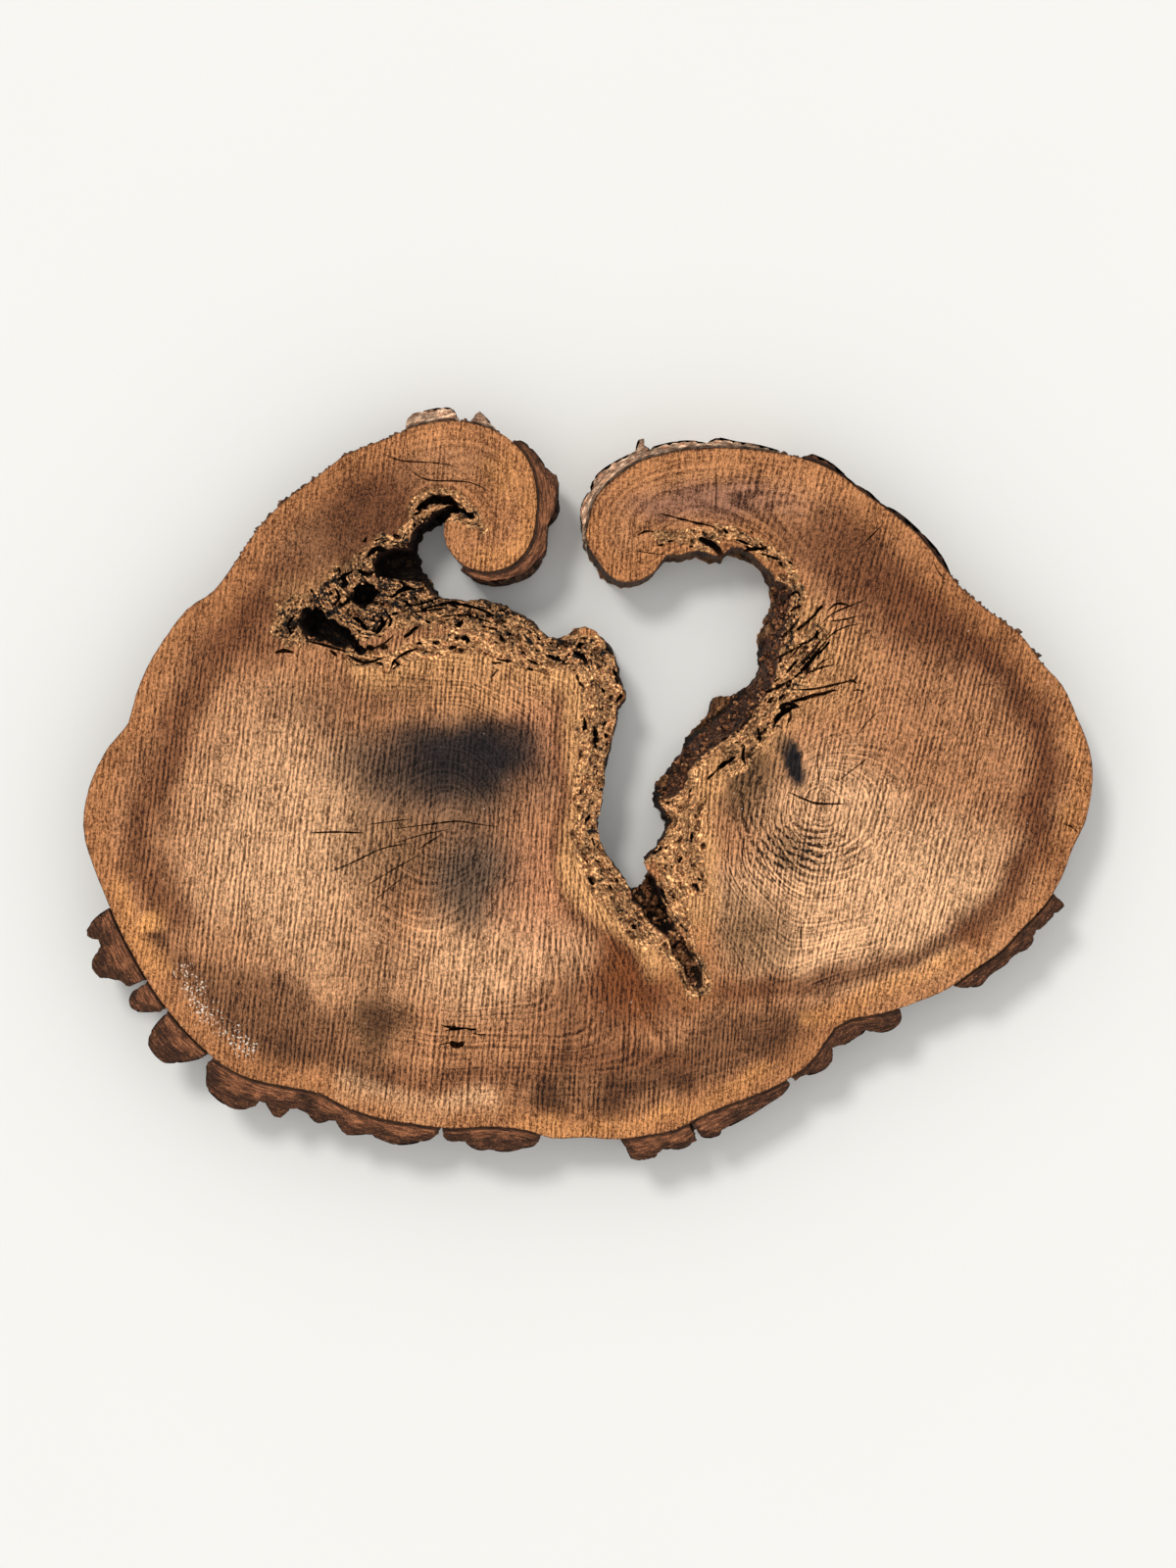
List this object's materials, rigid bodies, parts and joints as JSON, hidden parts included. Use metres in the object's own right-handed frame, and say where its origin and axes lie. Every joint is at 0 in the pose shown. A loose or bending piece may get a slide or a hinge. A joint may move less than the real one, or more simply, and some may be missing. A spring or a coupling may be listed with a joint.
{
  "type": "walnut wood cookie",
  "caption": "Live-edge slab sawn across a walnut trunk whose lobes grew round a rotted hollow and curl in to face each other, with bark left along parts of its edge.",
  "frame": {"origin": "middle of the slab's box, on the back sawn face that it lies on", "axes": "+X to the right along the longer way across the slab, +Y up the picture towards the two curls, +Z along the trunk, out of the front sawn face"},
  "size_m": [1.0306, 0.77, 0.076],
  "materials": {
    "sawn_walnut": "matt, rough from the saw",
    "walnut_bark": "matt, ridged and furrowed",
    "papery_bark": "matt, pale and flaking"
  },
  "bodies": {
    "root": {"wood": "sawn_walnut", "bark_left_chunk": "walnut_bark", "bark_left_heel": "walnut_bark", "bark_lower_left_block": "walnut_bark", "bark_lower_left_strip": "walnut_bark", "bark_bottom_left_strip": "walnut_bark", "bark_bottom_chunk": "walnut_bark", "bark_bottom_right_strip": "walnut_bark", "bark_lower_right_strip": "walnut_bark", "bark_right_strip": "walnut_bark", "bark_left_curl": "walnut_bark", "bark_right_curl": "papery_bark", "bark_top_right_crust": "walnut_bark", "bark_top_flake": "papery_bark", "bark_top_stub": "papery_bark"}
  },
  "joints": []
}
